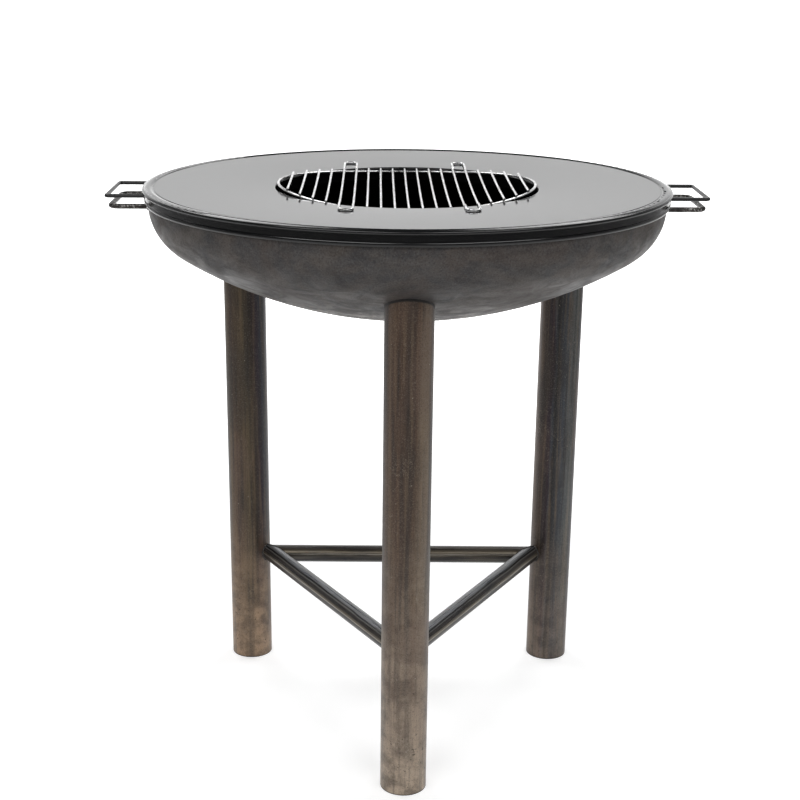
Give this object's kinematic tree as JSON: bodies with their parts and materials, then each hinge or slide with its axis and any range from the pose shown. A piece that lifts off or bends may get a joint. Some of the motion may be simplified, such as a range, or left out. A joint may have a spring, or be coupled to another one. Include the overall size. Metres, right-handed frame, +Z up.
{
  "type": "raised fire bowl grill",
  "caption": "Round dished steel fire bowl on a three-legged tube stand, with a ring-shaped enamelled cooking plate over its rim and a wire grate in the plate's centre hole.",
  "frame": {"origin": "on the floor, on the bowl's axis, under the middle of the object", "axes": "+Z up; +X across the object through the right-hand handles; the front leg stands at -Y"},
  "size_m": [0.926, 0.82, 0.887],
  "materials": {
    "leg_steel": "bare tube with brown and blue-grey mill scale, vertical drawing streaks",
    "stretcher_steel": "bare tube, darker and shinier mill scale",
    "bowl_steel": "raw pressed steel, mottled grey-brown scale",
    "handle_steel": "bare dark rod",
    "black_enamel": "smooth gloss black enamel",
    "enamelled_rod": "gloss black enamel on rod",
    "chrome_wire": "bright chrome-plated wire"
  },
  "bodies": {
    "stand": {"leg_front": "leg_steel", "leg_rear_left": "leg_steel", "leg_rear_right": "leg_steel", "stretcher_rear": "stretcher_steel", "stretcher_left": "stretcher_steel", "stretcher_right": "stretcher_steel"},
    "bowl": {"fire_bowl": "bowl_steel", "bowl_handle_left": "handle_steel", "bowl_handle_right": "handle_steel"},
    "plancha": {"plancha_plate": "black_enamel", "plancha_handle_left": "enamelled_rod", "plancha_handle_right": "enamelled_rod"},
    "grate": {"grate_ring": "chrome_wire", "grate_loop_left": "chrome_wire", "grate_loop_right": "chrome_wire", "grate_bar_01": "chrome_wire", "grate_bar_02": "chrome_wire", "grate_bar_03": "chrome_wire", "grate_bar_04": "chrome_wire", "grate_bar_05": "chrome_wire", "grate_bar_06": "chrome_wire", "grate_bar_07": "chrome_wire", "grate_bar_08": "chrome_wire", "grate_bar_09": "chrome_wire", "grate_bar_10": "chrome_wire", "grate_bar_11": "chrome_wire", "grate_bar_12": "chrome_wire", "grate_bar_13": "chrome_wire", "grate_bar_14": "chrome_wire", "grate_bar_15": "chrome_wire"}
  },
  "joints": [
    {"name": "bowl_lift", "type": "slide", "parent": "stand", "child": "bowl", "axis": [0, 0, 1], "range_m": [0, 0.25]},
    {"name": "plancha_lift", "type": "slide", "parent": "bowl", "child": "plancha", "axis": [0, 0, 1], "range_m": [0, 0.15]},
    {"name": "grate_lift", "type": "slide", "parent": "plancha", "child": "grate", "axis": [0, 0, 1], "range_m": [0, 0.15]}
  ]
}
